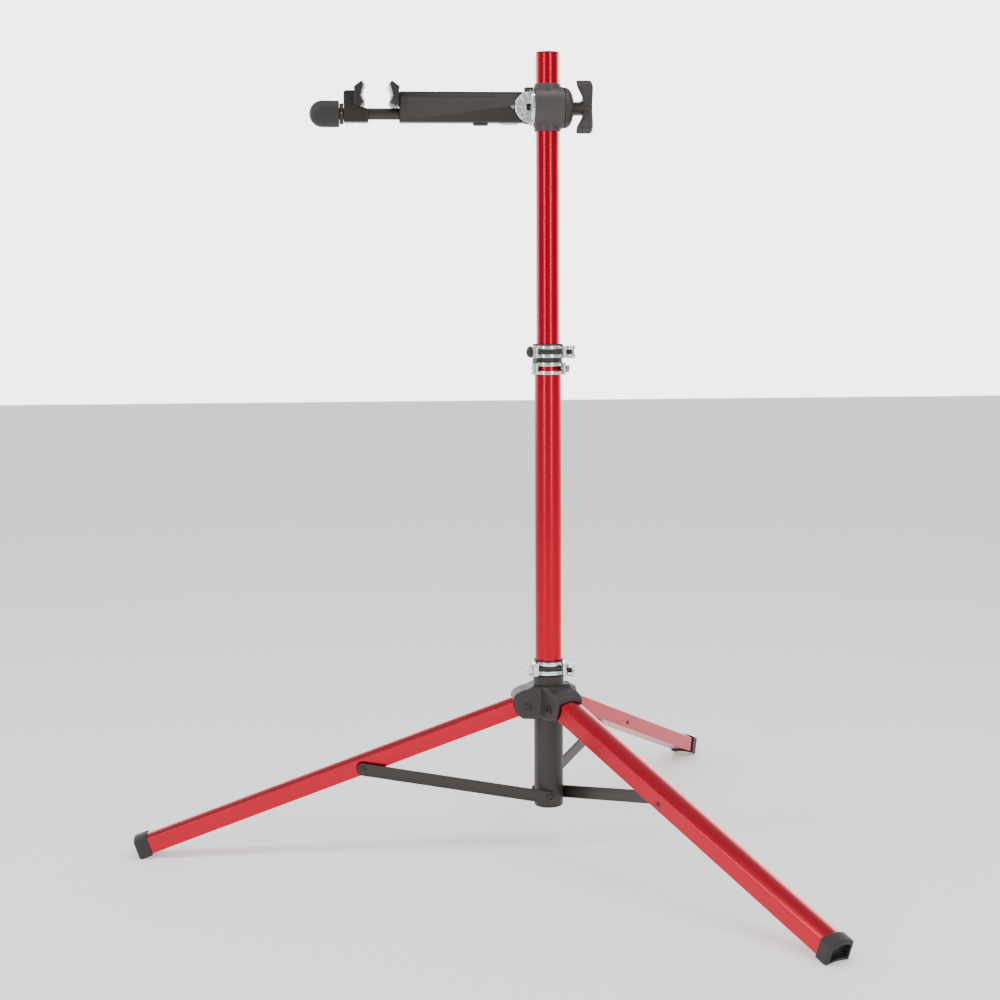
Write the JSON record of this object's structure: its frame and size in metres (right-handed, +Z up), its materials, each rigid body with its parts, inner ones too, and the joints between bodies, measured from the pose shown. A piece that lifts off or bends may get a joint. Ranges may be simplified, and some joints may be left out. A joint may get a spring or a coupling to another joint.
{
  "type": "bike repair stand",
  "caption": "Folding bike repair stand: telescoping mast on a tripod with sliding hub and struts, and a rotating, folding arm with a screw clamp.",
  "frame": {"origin": "centre of the footprint, on the floor", "axes": "+Z up along the mast, the clamp arm reaches along -X, the tension knob is on +X; the mast axis is 158 mm along +X from the origin"},
  "size_m": [1.0184, 1.1742, 1.262],
  "materials": {
    "red_anodised": "bright red anodised, satin gloss",
    "black_plastic": "fine-textured black nylon",
    "black_anodised": "satin black anodised",
    "grey_casting": "satin dark grey powder coat",
    "silver_zinc": "bright polished zinc",
    "steel": "zinc-plated steel",
    "foot_rubber": "matt black rubber",
    "jaw_pad": "grey clamp pad"
  },
  "bodies": {
    "mast": {"lower_mast_tube": "red_anodised", "mast_foot_plug": "black_plastic", "mast_sleeve": "black_plastic", "mast_clamp": "silver_zinc", "mast_clamp_bushing": "black_plastic", "mast_clamp_skewer": "black_anodised", "mast_clamp_adjusting_nut": "black_anodised", "mast_clamp_screw": "steel", "left_strut_bolt": "black_anodised", "front_strut_bolt": "black_anodised", "back_strut_bolt": "black_anodised"},
    "hub": {"hub_casting": "black_plastic", "hub_band": "silver_zinc", "hub_bushing": "black_plastic", "hub_skewer": "black_anodised", "hub_adjusting_nut": "silver_zinc", "left_leg_pivot_bolt": "black_anodised", "front_leg_pivot_bolt": "black_anodised", "back_leg_pivot_bolt": "black_anodised"},
    "left_leg": {"left_leg_tube": "red_anodised", "left_foot_cap": "foot_rubber", "left_leg_rivet_tail": "black_anodised"},
    "front_leg": {"front_leg_tube": "red_anodised", "front_foot_cap": "foot_rubber", "front_leg_rivet_tail": "black_anodised"},
    "back_leg": {"back_leg_tube": "red_anodised", "back_foot_cap": "foot_rubber", "back_leg_rivet_tail": "black_anodised"},
    "left_strut": {"left_strut": "black_anodised", "left_strut_rivet": "black_anodised"},
    "front_strut": {"front_strut": "black_anodised", "front_strut_rivet": "black_anodised"},
    "back_strut": {"back_strut": "black_anodised", "back_strut_rivet": "black_anodised"},
    "upper_mast": {"upper_mast_tube": "red_anodised", "mast_top_plug": "black_plastic", "upper_tube_guide": "black_plastic"},
    "head": {"head_barrel": "grey_casting", "head_end_cap": "black_plastic", "tension_spindle": "steel"},
    "tension_knob": {"tension_knob": "black_plastic"},
    "coupling": {"arm_coupling": "silver_zinc", "fold_pin": "steel", "fold_latch": "black_plastic"},
    "arm": {"arm_tube": "black_anodised", "arm_hinge_insert": "silver_zinc", "arm_end_plug": "black_plastic", "ratchet_block": "steel", "arm_lock_plate": "silver_zinc", "fixed_jaw": "black_anodised", "fixed_jaw_pad": "jaw_pad"},
    "release_button": {"release_button": "black_plastic"},
    "moving_jaw": {"moving_jaw": "black_anodised", "moving_jaw_pad": "jaw_pad"},
    "clamp_knob": {"clamp_screw": "black_anodised", "knob_collar": "black_anodised", "collar_set_screw": "steel", "clamp_knob": "foot_rubber"},
    "mast_clamp_lever": {"mast_clamp_lever": "silver_zinc"},
    "hub_lever": {"hub_lever": "silver_zinc"}
  },
  "joints": [
    {"name": "hub_slide", "type": "slide", "parent": "mast", "child": "hub", "axis": [0, 0, 1], "range_m": [0, 0.43388]},
    {"name": "left_leg_fold", "type": "hinge", "parent": "hub", "child": "left_leg", "pos_m": [0.12153, 0, 0.2325], "axis": [0, -1, 0], "range_deg": [0, 68.6]},
    {"name": "left_strut_fold", "type": "hinge", "parent": "mast", "child": "left_strut", "pos_m": [0.15753, 0, 0.084], "axis": [0, 1, 0], "range_deg": [0, 71.32]},
    {"name": "front_leg_fold", "type": "hinge", "parent": "hub", "child": "front_leg", "pos_m": [0.17553, -0.03118, 0.2325], "axis": [0.866, 0.5, 0], "range_deg": [0, 68.6]},
    {"name": "front_strut_fold", "type": "hinge", "parent": "mast", "child": "front_strut", "pos_m": [0.15753, 0, 0.084], "axis": [-0.866, -0.5, 0], "range_deg": [0, 71.32]},
    {"name": "back_leg_fold", "type": "hinge", "parent": "hub", "child": "back_leg", "pos_m": [0.17553, 0.03118, 0.2325], "axis": [-0.866, 0.5, 0], "range_deg": [0, 68.6]},
    {"name": "back_strut_fold", "type": "hinge", "parent": "mast", "child": "back_strut", "pos_m": [0.15753, 0, 0.084], "axis": [0.866, -0.5, 0], "range_deg": [0, 71.32]},
    {"name": "mast_slide", "type": "slide", "parent": "mast", "child": "upper_mast", "axis": [0, 0, 1], "range_m": [-0.324, 0.28]},
    {"name": "head_swivel", "type": "hinge", "parent": "upper_mast", "child": "head", "pos_m": [0.15753, 0, 1.177], "axis": [0, 0, 1], "continuous": true},
    {"name": "tension_knob_spin", "type": "hinge", "parent": "head", "child": "tension_knob", "pos_m": [0.21253, 0, 1.177], "axis": [1, 0, 0], "continuous": true},
    {"name": "arm_rotation", "type": "hinge", "parent": "head", "child": "coupling", "pos_m": [0.13623, 0, 1.177], "axis": [1, 0, 0], "continuous": true},
    {"name": "arm_fold", "type": "hinge", "parent": "coupling", "child": "arm", "pos_m": [0.10203, 0, 1.177], "axis": [0, -1, 0], "range_deg": [0, 90]},
    {"name": "release_button_press", "type": "slide", "parent": "arm", "child": "release_button", "axis": [0, 0, 1], "range_m": [0, 0.0018], "stiffness_N_per_m": 400, "springref_m": -0.002},
    {"name": "jaw_slide", "type": "slide", "parent": "arm", "child": "moving_jaw", "axis": [1, 0, 0], "range_m": [-0.03, 0.0325]},
    {"name": "clamp_knob_spin", "type": "hinge", "parent": "moving_jaw", "child": "clamp_knob", "pos_m": [-0.18247, 0, 1.167], "axis": [1, 0, 0], "continuous": true},
    {"name": "mast_clamp_lever_swing", "type": "hinge", "parent": "mast", "child": "mast_clamp_lever", "pos_m": [0.19123, -0.026, 0.7994], "axis": [0, 0, -1], "range_deg": [0, 150]},
    {"name": "hub_lever_swing", "type": "hinge", "parent": "hub", "child": "hub_lever", "pos_m": [0.19123, -0.026, 0.2935], "axis": [0, 0, -1], "range_deg": [0, 150]}
  ],
  "couplings": [
    {"joint": "left_leg_fold", "follows": "hub_slide", "rad_per_m": 2.7515},
    {"joint": "left_strut_fold", "follows": "hub_slide", "rad_per_m": 2.8609},
    {"joint": "front_leg_fold", "follows": "hub_slide", "rad_per_m": 2.7515},
    {"joint": "front_strut_fold", "follows": "hub_slide", "rad_per_m": 2.8609},
    {"joint": "back_leg_fold", "follows": "hub_slide", "rad_per_m": 2.7515},
    {"joint": "back_strut_fold", "follows": "hub_slide", "rad_per_m": 2.8609}
  ]
}
